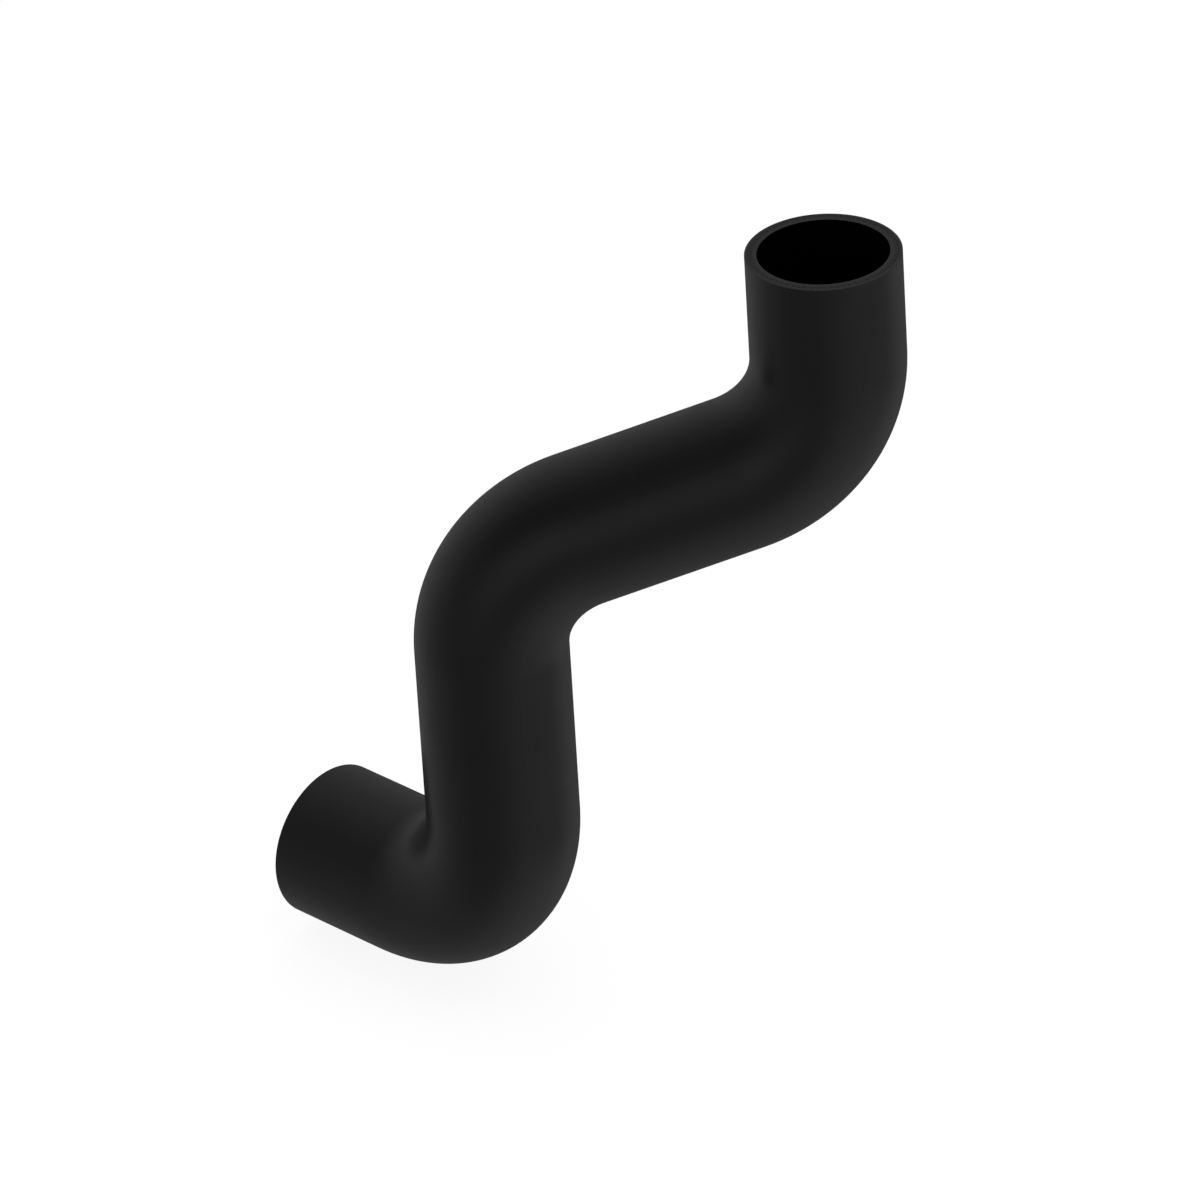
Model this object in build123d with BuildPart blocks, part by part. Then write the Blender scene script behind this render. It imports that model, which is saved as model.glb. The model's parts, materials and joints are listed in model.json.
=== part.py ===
from build123d import *

import os
from math import cos, radians, sin, sqrt

# Moulded rubber drain hose with three bends, built up from five bonded layers.
#
# The hose leaves a vertical waste outlet, falls along a gently sloping leg, drops again and
# ends in a level leg that slides over a waste pipe. Every layer follows the same centreline.
# The outlet end is stretched over a stepped mandrel before curing, so the wall gets thinner
# there, while the rubber in each layer keeps its cross-section area.
#
# Frame: origin in the centre of the inlet mouth, +Z out of the inlet, +Y out of the outlet.

# ---------------------------------------------------------------- driving dimensions (mm)
INLET_BORE = 38.0  # slides over a 38 mm (1 1/2 in) tubular tailpiece
OUTLET_BORE = 40.0  # slides over a 40 mm waste pipe

TUBE_WALL = 1.40  # smooth inner tube that carries the water
PLY_WALL = 0.45  # one spiral of yarn, the same for both plies
TIE_WALL = 0.25  # rubber film that keeps the two plies apart
COVER_WALL = 1.00  # weather-proof outer cover

INLET_LEG = 61.6  # inlet mouth to the top corner
SLOPING_LEG = 106.5  # top corner to the middle corner
LOWER_LEG = 123.2  # middle corner to the low corner
OUTLET_LEG = 74.1  # low corner to the outlet mouth
BEND_RADIUS = 39.4  # centreline radius of all three bends

FALL = 18.0  # degrees that the sloping leg falls below the horizontal
PLAN_TURN = 45.0  # degrees in plan between the sloping leg and the outlet leg

# ---------------------------------------------------------------- layer radii at the inlet
bore_radius = INLET_BORE / 2
tube_radius = bore_radius + TUBE_WALL
inner_ply_radius = tube_radius + PLY_WALL
tie_radius = inner_ply_radius + TIE_WALL
outer_ply_radius = tie_radius + PLY_WALL
cover_radius = outer_ply_radius + COVER_WALL

# ---------------------------------------------------------------- centreline of the hose
down = Vector(0, 0, -1)
outward = Vector(0, 1, 0)
sloping = outward.rotate(Axis.Z, PLAN_TURN) * cos(radians(FALL)) + down * sin(radians(FALL))

inlet_mouth = Vector(0, 0, 0)
top_corner = inlet_mouth + down * INLET_LEG
middle_corner = top_corner + sloping * SLOPING_LEG
low_corner = middle_corner + down * LOWER_LEG
outlet_mouth = low_corner + outward * OUTLET_LEG

with BuildLine() as centreline:
    FilletPolyline(
        inlet_mouth, top_corner, middle_corner, low_corner, outlet_mouth, radius=BEND_RADIUS
    )

*upper_run, outlet_bend, outlet_leg = centreline.wire().order_edges()


def stretched(radius):
    """Radius of a layer face at the outlet, where the bore has grown to OUTLET_BORE."""
    return sqrt(radius**2 + (OUTLET_BORE / 2) ** 2 - (INLET_BORE / 2) ** 2)


def hose_body(radius, mode=Mode.ADD):
    """Add, or cut, one round bar along the whole centreline.

    The bar keeps the given radius down to the last bend, widens evenly through that bend,
    and runs on at the stretched radius to the outlet mouth.
    """
    with BuildSketch(Plane(inlet_mouth, x_dir=outward, z_dir=down)) as inlet_section:
        Circle(radius)
    sweep(sections=inlet_section.sketch, path=upper_run, mode=mode)

    across = down.cross(outward)
    with BuildSketch(Plane(outlet_bend @ 0, x_dir=across, z_dir=down)) as bend_section:
        Circle(radius)
    with BuildSketch(Plane(outlet_bend @ 1, x_dir=across, z_dir=outward)) as outlet_section:
        Circle(stretched(radius))
    sweep(
        sections=[bend_section.sketch, outlet_section.sketch],
        path=outlet_bend,
        multisection=True,
        mode=mode,
    )
    extrude(outlet_section.sketch, amount=outlet_leg.length, mode=mode)


os.makedirs("parts", exist_ok=True)

# ---------------------------------------------------------------- inner tube
with BuildPart() as inner_tube:
    hose_body(tube_radius)
    hose_body(bore_radius, Mode.SUBTRACT)
inner_tube.part.label = "inner_tube"
export_step(inner_tube.part, "parts/inner_tube.step")

# ---------------------------------------------------------------- inner yarn ply
with BuildPart() as inner_yarn_ply:
    hose_body(inner_ply_radius)
    hose_body(tube_radius, Mode.SUBTRACT)
inner_yarn_ply.part.label = "inner_yarn_ply"
export_step(inner_yarn_ply.part, "parts/inner_yarn_ply.step")

# ---------------------------------------------------------------- tie layer
with BuildPart() as tie_layer:
    hose_body(tie_radius)
    hose_body(inner_ply_radius, Mode.SUBTRACT)
tie_layer.part.label = "tie_layer"
export_step(tie_layer.part, "parts/tie_layer.step")

# ---------------------------------------------------------------- outer yarn ply
with BuildPart() as outer_yarn_ply:
    hose_body(outer_ply_radius)
    hose_body(tie_radius, Mode.SUBTRACT)
outer_yarn_ply.part.label = "outer_yarn_ply"
export_step(outer_yarn_ply.part, "parts/outer_yarn_ply.step")

# ---------------------------------------------------------------- cover
with BuildPart() as cover:
    hose_body(cover_radius)
    hose_body(outer_ply_radius, Mode.SUBTRACT)
cover.part.label = "cover"
export_step(cover.part, "parts/cover.step")
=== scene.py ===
import json
from math import acos, cos, pi, radians, sin, sqrt, tan

import bpy
import numpy as np
from mathutils import Matrix, Vector


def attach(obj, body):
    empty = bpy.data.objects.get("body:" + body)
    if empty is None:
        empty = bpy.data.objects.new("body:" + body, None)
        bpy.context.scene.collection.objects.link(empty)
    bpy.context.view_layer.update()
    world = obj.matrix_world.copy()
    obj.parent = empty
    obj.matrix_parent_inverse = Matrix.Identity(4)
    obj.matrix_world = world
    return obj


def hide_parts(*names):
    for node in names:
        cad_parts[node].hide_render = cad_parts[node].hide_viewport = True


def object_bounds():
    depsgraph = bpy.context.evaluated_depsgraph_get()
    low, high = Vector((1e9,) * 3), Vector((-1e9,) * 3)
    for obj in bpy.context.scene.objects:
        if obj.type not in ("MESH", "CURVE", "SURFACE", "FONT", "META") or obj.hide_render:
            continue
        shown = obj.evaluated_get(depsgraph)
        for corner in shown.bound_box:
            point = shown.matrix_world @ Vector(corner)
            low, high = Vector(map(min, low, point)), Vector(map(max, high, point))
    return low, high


# Moulded rubber waste hose: three swept rubber layers with two laid yarn plies bonded between
# them, their materials, and a plain studio.

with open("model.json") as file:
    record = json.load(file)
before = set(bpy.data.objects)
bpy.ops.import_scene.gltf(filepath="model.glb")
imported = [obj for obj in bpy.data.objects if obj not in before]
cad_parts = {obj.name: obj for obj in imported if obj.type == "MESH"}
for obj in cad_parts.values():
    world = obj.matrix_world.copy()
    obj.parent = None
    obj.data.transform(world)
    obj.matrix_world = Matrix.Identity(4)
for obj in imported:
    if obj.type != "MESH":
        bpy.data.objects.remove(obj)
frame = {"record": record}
cad_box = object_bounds()

MM = 0.001
mounts = {m["name"]: m for m in frame["record"]["mounts"]}

# ------------------------------------------------------------------ sizes of the hose
BEND_RADIUS = 39.4 * MM
FALL = radians(18)
LAYERS = {  # thickness of each bonded layer at the inlet, from the bore outwards
    "inner_tube": 1.40 * MM,
    "inner_yarn_ply": 0.45 * MM,
    "tie_layer": 0.25 * MM,
    "outer_yarn_ply": 0.45 * MM,
    "cover": 1.00 * MM,
}
OUTER_EDGE = 0.10 * MM  # the knife-cut rims are rounded only this much
INNER_EDGE = 0.08 * MM
LAYER_EDGE = 0.02 * MM  # between bonded layers the cut edges stay nearly sharp
EDGE_HOLD = 0.03 * MM  # keeps the flat faces flat right up to their rounded edges

AROUND = 144  # vertices round a rubber layer
STATION_STEP = 1.6 * MM  # distance between rings along the hose
EDGE_STEPS = 4  # flats that round off a knife-cut edge
FACE_RINGS = 3  # rings across a cut face


# ------------------------------------------------------------------ centreline
def unit(v):
    return v / np.linalg.norm(v)


def turned(vectors, axis, angle):
    """Vectors turned about a unit axis by an angle (Rodrigues' formula)."""
    v = np.asarray(vectors, float)
    along = np.outer(v @ axis, axis) if v.ndim == 2 else (v @ axis) * axis
    return v * cos(angle) + np.cross(axis, v) * sin(angle) + along * (1 - cos(angle))


class Route:
    """A centreline of straight legs and round bends. Its crosswise directions never twist."""

    def __init__(self, start, direction, across):
        self.point = np.array(start, float)
        self.axes = np.array([across, np.cross(direction, across), direction], float)
        self.length = 0.0
        self.spans = []

    def leg(self, length):
        """Runs straight on."""
        self.spans.append((self.length, self.point, self.axes, None, None))
        self.point = self.point + self.axes[2] * length
        self.length += length

    def bend(self, direction, radius):
        """Turns into a new direction. Returns where the bend starts and ends along the route."""
        axis = unit(np.cross(self.axes[2], direction))
        centre = self.point + np.cross(axis, self.axes[2]) * radius
        angle = acos(float(np.dot(self.axes[2], direction)))
        self.spans.append((self.length, self.point, self.axes, axis, centre))
        self.point = centre + turned(self.point - centre, axis, angle)
        self.axes = turned(self.axes, axis, angle)
        self.length += radius * angle
        return self.length - radius * angle, self.length

    def at(self, distance):
        """Centre point and the two crosswise unit vectors at a distance from the inlet."""
        begin, point, axes, axis, centre = [s for s in self.spans if s[0] <= distance + 1e-9][-1]
        run = distance - begin
        if axis is None:
            return point + axes[2] * run, axes[0], axes[1]
        angle = run / np.linalg.norm(point - centre)
        here = turned(axes, axis, angle)
        return centre + turned(point - centre, axis, angle), here[0], here[1]


up = np.array([0.0, 0.0, 1.0])
inlet_at = np.array(mounts["inlet"]["pos_m"])
outlet_at = np.array(mounts["outlet"]["pos_m"])
outward = np.array(mounts["outlet"]["axis"], float)
inlet_cuff = mounts["inlet"]["dims"]["length_mm"] * MM
outlet_cuff = mounts["outlet"]["dims"]["length_mm"] * MM
inlet_bore = mounts["inlet"]["dims"]["r_mm"] * MM
outlet_bore = mounts["outlet"]["dims"]["r_mm"] * MM

# corners where the straight legs would meet if the bends were sharp
set_back = BEND_RADIUS * tan((pi / 2 - FALL) / 2)
top_corner = inlet_at - up * (inlet_cuff + set_back)
low_corner = outlet_at - outward * (outlet_cuff + BEND_RADIUS)
plan = (low_corner - top_corner) * (1, 1, 0)
sloping = unit(plan) * cos(FALL) - up * sin(FALL)
sloping_length = np.linalg.norm(plan) / cos(FALL)
lower_length = (top_corner + sloping * sloping_length - low_corner)[2]

route = Route(inlet_at, -up, outward)
route.leg(inlet_cuff)
route.bend(sloping, BEND_RADIUS)
route.leg(sloping_length - 2 * set_back)
route.bend(-up, BEND_RADIUS)
route.leg(lower_length - set_back - BEND_RADIUS)
widening = route.bend(outward, BEND_RADIUS)
route.leg(outlet_cuff)


def radius_at(radius, distance):
    """A layer radius along the hose: its inlet value, then stretched through the last bend."""
    stretched = sqrt(radius**2 + outlet_bore**2 - inlet_bore**2)
    share = (distance - widening[0]) / (widening[1] - widening[0])
    return radius + (stretched - radius) * min(max(share, 0.0), 1.0)


def ring(distance, radius, angles):
    """Points round the hose, and the same points with the hose laid out straight, in mm."""
    centre, first, second = route.at(min(max(distance, 0.0), route.length))
    c, s = np.cos(angles), np.sin(angles)
    r = radius_at(radius, distance)
    points = centre + np.outer(r * c, first) + np.outer(r * s, second)
    straight = np.stack([r * c, r * s, np.full_like(c, distance)], axis=1)
    return points, straight / MM


# ------------------------------------------------------------------ meshes
def rubber_profile(inner, outer, inner_edge, outer_edge):
    """Outline of a layer's wall as (distance, radius, zone), once round, starting at the inlet."""
    end = route.length
    quarter = np.linspace(0, pi / 2, EDGE_STEPS + 1)
    out, into = outer_edge + EDGE_HOLD, inner_edge + EDGE_HOLD
    outside = np.linspace(out, end - out, int(end / STATION_STEP))
    inside = np.linspace(end - into, into, int(end / STATION_STEP))
    face = np.linspace(outer - out, inner + into, FACE_RINGS)

    def edge(station, inward, radius, to_middle, size):
        """The rounded edge between a long face and a cut face, from the long face on."""
        along, towards = inward * size, to_middle * size
        return [
            (station + along * (1 - sin(a)), radius + towards * (1 - cos(a)), "cut") for a in quarter
        ]

    outline = [(s, outer, "outside") for s in outside]
    outline += edge(end, -1, outer, -1, outer_edge)
    outline += [(end, r, "cut") for r in face]
    outline += edge(end, -1, inner, 1, inner_edge)[::-1]
    outline += [(s, inner, "inside") for s in inside]
    outline += edge(0.0, 1, inner, 1, inner_edge)
    outline += [(0.0, r, "cut") for r in face[::-1]]
    outline += edge(0.0, 1, outer, -1, outer_edge)[::-1]
    return outline


def mesh_object(name, points, straight, faces, zones, materials):
    """A smooth-shaded mesh that keeps its laid-out-straight place in the attribute 'straight'."""
    mesh = bpy.data.meshes.new(name)
    mesh.from_pydata(points.tolist(), [], faces)
    layout = mesh.attributes.new("straight", "FLOAT_VECTOR", "POINT")
    layout.data.foreach_set("vector", straight.astype(np.float32).ravel())
    for material in materials.values():
        mesh.materials.append(material)
    slots = list(materials)
    mesh.polygons.foreach_set("material_index", [slots.index(z) for z in zones])
    mesh.polygons.foreach_set("use_smooth", [True] * len(faces))
    mesh.update()
    piece = bpy.data.objects.new(name, mesh)
    bpy.context.scene.collection.objects.link(piece)
    return piece


def rubber_layer(name, inner, outer, inner_edge, outer_edge, materials):
    """A closed rubber sleeve over the whole hose, one quad grid with no poles."""
    outline = rubber_profile(inner, outer, inner_edge, outer_edge)
    angles = np.arange(AROUND) * 2 * pi / AROUND
    rings = [ring(s, r, angles) for s, r, _ in outline]
    points = np.concatenate([p for p, _ in rings])
    straight = np.concatenate([q for _, q in rings])
    faces, zones = [], []
    for i, (_, _, zone) in enumerate(outline):
        j = (i + 1) % len(outline)
        for k in range(AROUND):
            m = (k + 1) % AROUND
            faces.append((i * AROUND + k, i * AROUND + m, j * AROUND + m, j * AROUND + k))
            zones.append(zone if zone == outline[j][2] else "cut")
    return mesh_object(name, points, straight, faces, zones, materials)


YARN_ANGLE = radians(54.7)  # from the axis; pressure then neither stretches nor swells the hose
YARN_ENDS = 72
YARN_STEP = 2.5 * MM
YARN_RECESS = 0.02 * MM  # the blade leaves yarn ends slightly below the rubber
YARN_GAP = 0.02  # share of a yarn's pitch left between neighbours
YARN_CORNERS = 10  # points round a yarn's section
YARN_SQUARENESS = 0.4  # exponent of the section: 1 is an ellipse, 0 a rectangle


def yarn_ply(name, inner, outer, hand, materials):
    """One spiral of flat yarns laid side by side, each a closed strand."""
    mean = (inner + outer) / 2
    turn_per_length = hand * tan(YARN_ANGLE) / mean
    half_width = pi / YARN_ENDS * (1 - YARN_GAP)
    half_height = (outer - inner) / 2
    corners = [radians(360 / YARN_CORNERS * i) for i in range(YARN_CORNERS)]
    across = [np.sign(cos(a)) * abs(cos(a)) ** YARN_SQUARENESS for a in corners]
    height = [np.sign(sin(a)) * abs(sin(a)) ** YARN_SQUARENESS for a in corners]
    stations = np.linspace(YARN_RECESS, route.length - YARN_RECESS, int(route.length / YARN_STEP))
    starts = np.arange(YARN_ENDS) * 2 * pi / YARN_ENDS
    rings = []
    for s in stations:
        for a, h in zip(across, height):
            angles = starts + turn_per_length * s + a * half_width
            rings.append(ring(s, mean + h * half_height, angles))
    points = np.concatenate([p for p, _ in rings])
    straight = np.concatenate([q for _, q in rings])

    def vertex(station, corner, yarn):
        return (station * YARN_CORNERS + corner % YARN_CORNERS) * YARN_ENDS + yarn

    last = len(stations) - 1
    sides = [
        (vertex(i, k, y), vertex(i + 1, k, y), vertex(i + 1, k + 1, y), vertex(i, k + 1, y))
        for y in range(YARN_ENDS)
        for i in range(last)
        for k in range(YARN_CORNERS)
    ]
    section = range(YARN_CORNERS)
    ends = [tuple(vertex(0, k, y) for k in section) for y in range(YARN_ENDS)]
    ends += [tuple(vertex(last, k, y) for k in reversed(section)) for y in range(YARN_ENDS)]
    zones = ["side"] * len(sides) + ["cut"] * len(ends)
    return mesh_object(name, points, straight, sides + ends, zones, materials)


# ------------------------------------------------------------------ materials
class Nodes:
    """A node tree in the making. Each call adds one node and returns its output."""

    def __init__(self, owner):
        owner.use_nodes = True
        self.tree = owner.node_tree

    def node(self, kind, inputs=None, output=0, **settings):
        made = self.tree.nodes.new(kind)
        for key, value in settings.items():
            setattr(made, key, value)
        for key, value in (inputs or {}).items():
            self.join(value, made.inputs[key])
        return made.outputs[output]

    def join(self, value, socket):
        if isinstance(value, bpy.types.NodeSocket):
            self.tree.links.new(value, socket)
        else:
            socket.default_value = value

    def math(self, operation, a, b):
        return self.node("ShaderNodeMath", {0: a, 1: b}, operation=operation)

    def remap(self, value, low, high, new_low, new_high):
        ends = {"From Min": low, "From Max": high, "To Min": new_low, "To Max": new_high}
        return self.node("ShaderNodeMapRange", {"Value": value, **ends})


class Look(Nodes):
    """A principled material. Its patterns lie on the hose laid out straight."""

    def __init__(self, name):
        self.material = bpy.data.materials.new(name)
        super().__init__(self.material)
        self.shader = self.tree.nodes["Principled BSDF"]

    def straight(self, stretch=(1, 1, 1)):
        """Place on the hose laid out straight, in mm, with each axis scaled."""
        place = self.node("ShaderNodeAttribute", output=1, attribute_name="straight")
        return self.node("ShaderNodeMapping", {"Vector": place, "Scale": stretch})

    def noise(self, stretch, size, detail=2.0, roughness=0.5):
        """Soft random value, about 0 to 1, with features of the given size in mm."""
        return self.node(
            "ShaderNodeTexNoise",
            {
                "Vector": self.straight(stretch),
                "Scale": 1 / size,
                "Detail": detail,
                "Roughness": roughness,
            },
        )

    def tint(self, value, red=1.0, green=1.0, blue=1.0):
        """A colour from one number, neutral unless a channel is turned down."""
        channels = {"Red": red, "Green": green, "Blue": blue}
        return self.node(
            "ShaderNodeCombineColor",
            {c: self.math("MULTIPLY", value, share) for c, share in channels.items()},
        )

    def bump(self, height, distance, normal=None):
        inputs = {"Height": height, "Distance": distance * MM, "Strength": 1.0}
        if normal is not None:
            inputs["Normal"] = normal
        return self.node("ShaderNodeBump", inputs)

    def set(self, **inputs):
        for key, value in inputs.items():
            self.join(value, self.shader.inputs[key.replace("_", " ")])


ROUND = (1, 1, 1)
LENGTHWISE = (1, 1, 0.012)  # draws a pattern out along the hose


def rubber(name, shade, roughness, specular, die_lines, grain, bloom):
    """Carbon-black rubber: die lines along the hose, fine grain, and a faint uneven bloom."""
    look = Look(name)
    cloud = look.noise(ROUND, 24, detail=4.0)
    patch = look.noise(ROUND, 7, detail=3.0)
    speck = look.noise(ROUND, 0.45, detail=2.0)
    line = look.noise(LENGTHWISE, 0.8, detail=3.0, roughness=0.6)
    dust = look.remap(cloud, 0.3, 0.7, 1 - bloom, 1 + bloom)
    streak = look.remap(line, 0.3, 0.7, 1 - bloom, 1 + bloom)
    mottle = look.math("MULTIPLY", dust, streak)
    satin = look.remap(patch, 0.3, 0.7, 0.93, 1.07)
    relief = look.bump(speck, grain)
    relief = look.bump(look.noise(ROUND, 0.2, detail=3.0), grain, relief)
    relief = look.bump(line, die_lines, relief)
    look.set(
        Base_Color=look.tint(look.math("MULTIPLY", mottle, shade)),
        Roughness=look.math("MULTIPLY", satin, roughness),
        Specular_IOR_Level=look.math("MULTIPLY", mottle, specular),
        Normal=relief,
    )
    return look.material


def cut_rubber(name, shade, roughness, specular):
    """Rubber where the knife went through: short drag marks across the wall, no die lines."""
    look = Look(name)
    drag = look.noise((0.9, 0.12, 1), 0.30, detail=3.0, roughness=0.6)
    speck = look.noise(ROUND, 0.25, detail=2.0)
    tone = look.remap(speck, 0.3, 0.7, 0.9, 1.1)
    relief = look.bump(drag, 0.012)
    relief = look.bump(speck, 0.006, relief)
    look.set(
        Base_Color=look.tint(look.math("MULTIPLY", tone, shade)),
        Roughness=look.remap(drag, 0.3, 0.7, roughness - 0.04, roughness + 0.04),
        Specular_IOR_Level=specular,
        Normal=relief,
    )
    return look.material


def dipped_yarn(name, shade):
    """Polyester yarn, dipped dark so that it bonds with rubber, with its filaments along it."""
    look = Look(name)
    filament = look.noise((1, 1, 0.6), 0.09, detail=2.0)
    tone = look.remap(filament, 0.3, 0.7, 0.7 * shade, 1.3 * shade)
    look.set(
        Base_Color=look.tint(tone, green=0.95, blue=0.88),
        Roughness=0.75,
        Specular_IOR_Level=0.3,
        Normal=look.bump(filament, 0.01),
    )
    return look.material


cover_rubber = rubber(
    "cover_rubber",
    shade=0.012,
    roughness=0.3,
    specular=0.5,
    die_lines=0.007,
    grain=0.006,
    bloom=0.04,
)
# painted shade: the bore's rubber is near black, very rough and barely reflective, standing in for
# the shade deep inside the hose
bore_rubber_painted_shade = rubber(
    "bore_rubber_painted_shade",
    shade=0.0015,
    roughness=0.9,
    specular=0.05,
    die_lines=0.01,
    grain=0.004,
    bloom=0.1,
)
bonded_rubber = rubber(
    "bonded_rubber",
    shade=0.01,
    roughness=0.8,
    specular=0.3,
    die_lines=0.0,
    grain=0.01,
    bloom=0.1,
)
cut_face = cut_rubber("cut_face", shade=0.06, roughness=0.5, specular=0.4)
yarns = {"side": dipped_yarn("dipped_yarn", 0.03), "cut": dipped_yarn("cut_yarn", 0.09)}

# ------------------------------------------------------------------ the pieces
boundary = {}
radius = inlet_bore
for node, thickness in LAYERS.items():
    boundary[node] = (radius, radius + thickness)
    radius += thickness

hose_cover = rubber_layer(
    "hose_cover", *boundary["cover"], LAYER_EDGE, OUTER_EDGE,
    {"outside": cover_rubber, "cut": cut_face, "inside": bonded_rubber},
)
tie_film = rubber_layer(
    "tie_film", *boundary["tie_layer"], LAYER_EDGE, LAYER_EDGE,
    {"outside": bonded_rubber, "cut": cut_face, "inside": bonded_rubber},
)
hose_tube = rubber_layer(
    "hose_tube", *boundary["inner_tube"], INNER_EDGE, LAYER_EDGE,
    {"outside": bonded_rubber, "cut": cut_face, "inside": bore_rubber_painted_shade},
)
inner_yarns = yarn_ply("inner_yarns", *boundary["inner_yarn_ply"], 1, yarns)
outer_yarns = yarn_ply("outer_yarns", *boundary["outer_yarn_ply"], -1, yarns)

stands_for = {
    "cover": (hose_cover, "cover_rubber"),
    "tie_layer": (tie_film, "tie_rubber"),
    "inner_tube": (hose_tube, "inner_tube_rubber"),
    "inner_yarn_ply": (inner_yarns, "yarn"),
    "outer_yarn_ply": (outer_yarns, "yarn"),
}
for node, (piece, material_slot) in stands_for.items():
    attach(piece, "root")
    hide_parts(node)

# ------------------------------------------------------------------ studio
scene = bpy.context.scene
scene.view_settings.view_transform = "Standard"
centre = (cad_box[0] + cad_box[1]) / 2


def direction(azimuth, elevation):
    """Unit vector away from the hose. Azimuth in degrees from +X towards +Y."""
    a, e = radians(azimuth), radians(elevation)
    return Vector((cos(a) * cos(e), sin(a) * cos(e), sin(e)))


FLOOR_SIZE = 24.0  # metres
FLOOR_GAP = 0.2 * MM  # just below the lowest bend
FLOOR_GLOW = 0.9  # makes the floor an evenly lit backdrop where it is seen directly
bpy.ops.mesh.primitive_plane_add(size=FLOOR_SIZE, location=(0, 0, cad_box[0].z - FLOOR_GAP))
floor = bpy.context.object
floor.name = "floor"
paper = Look("pale_floor")
seen = paper.node("ShaderNodeLightPath", output="Is Camera Ray")
paper.set(
    Base_Color=(0.5, 0.5, 0.5, 1),
    Roughness=0.9,
    Specular_IOR_Level=0.0,
    Emission_Color=(1, 1, 1, 1),
    Emission_Strength=paper.math("MULTIPLY", seen, FLOOR_GLOW),
)
below = paper.node("ShaderNodeNewGeometry", output="Backfacing")
clear = paper.node("ShaderNodeBsdfTransparent")
one_sided = paper.node("ShaderNodeMixShader", {0: below, 1: paper.shader.outputs[0], 2: clear})
paper.join(one_sided, paper.tree.nodes["Material Output"].inputs["Surface"])
floor.data.materials.append(paper.material)
# only the camera sees the floor, so the tent lights the hose from below too
floor.visible_diffuse = False
floor.visible_glossy = False
floor.visible_transmission = False
floor.visible_shadow = False

# An even tent of soft light on all sides, a little brighter towards each of these directions.
# Each glow fades out from its middle as the cosine to the power of the third number.
TENT = 0.07
GLOWS = (  # azimuth, elevation, falloff, strength
    (-82, -53, 4, 0.31),
    (-162, 12, 9, 0.27),
    (-110, 6, 2, 0.09),
    (93, 23, 4, 0.18),
    (120, -31, 2, 0.17),
    (-17, -29, 9, 0.17),
    (20, 47, 2, 0.22),
)
world = bpy.data.worlds.new("studio")
scene.world = world
tent = Nodes(world)
looking = tent.node("ShaderNodeTexCoord", output="Generated")
light = TENT
for azimuth, elevation, falloff, strength in GLOWS:
    facing = tent.node(
        "ShaderNodeVectorMath",
        {0: looking, 1: direction(azimuth, elevation)},
        output="Value",
        operation="DOT_PRODUCT",
    )
    glow = tent.math("POWER", tent.math("MAXIMUM", facing, 0.0), float(falloff))
    light = tent.math("ADD", tent.math("MULTIPLY", glow, strength), light)
seen = tent.node("ShaderNodeLightPath", output="Is Camera Ray")
background = tent.tree.nodes["Background"]
tent.join((1, 1, 1, 1), background.inputs["Color"])
tent.join(tent.math("MAXIMUM", light, seen), background.inputs["Strength"])


def softbox(name, toward, width, height, distance, radiance):
    """A rectangular area light that faces the centre of the hose."""
    data = bpy.data.lights.new(name, "AREA")
    data.shape = "RECTANGLE"
    data.size = width
    data.size_y = height
    data.energy = radiance * pi * width * height
    lamp = bpy.data.objects.new(name, data)
    scene.collection.objects.link(lamp)
    lamp.location = centre + toward * distance
    lamp.rotation_mode = "QUATERNION"
    lamp.rotation_quaternion = toward.to_track_quat("Z", "Y")
    lamp.visible_camera = False


softbox("key", direction(-85, 67), width=0.9, height=0.9, distance=2.0, radiance=0.7)

# the camera looks down on the hose, and is turned slightly about its own line of sight
AZIMUTH = -45.17  # direction of the picture's right-hand side, in degrees from +X towards +Y
ELEVATION = 30.74  # degrees above the horizontal
ROLL = radians(-3.53)
DISTANCE = 3.0056  # metres
LENS = 310.2  # mm
SENSOR = 36.0  # mm

back = direction(AZIMUTH - 90, ELEVATION)
level = direction(AZIMUTH, 0)
rise = back.cross(level)
right = level * cos(ROLL) + rise * sin(ROLL)
top = rise * cos(ROLL) - level * sin(ROLL)

camera_data = bpy.data.cameras.new("camera")
camera_data.lens = LENS
camera_data.sensor_width = SENSOR
camera_data.clip_start = 0.1
camera_data.clip_end = 100
camera = bpy.data.objects.new("camera", camera_data)
scene.collection.objects.link(camera)
turn = Matrix((right, top, back)).transposed()
camera.matrix_world = Matrix.Translation(centre + back * DISTANCE) @ turn.to_4x4()
scene.camera = camera
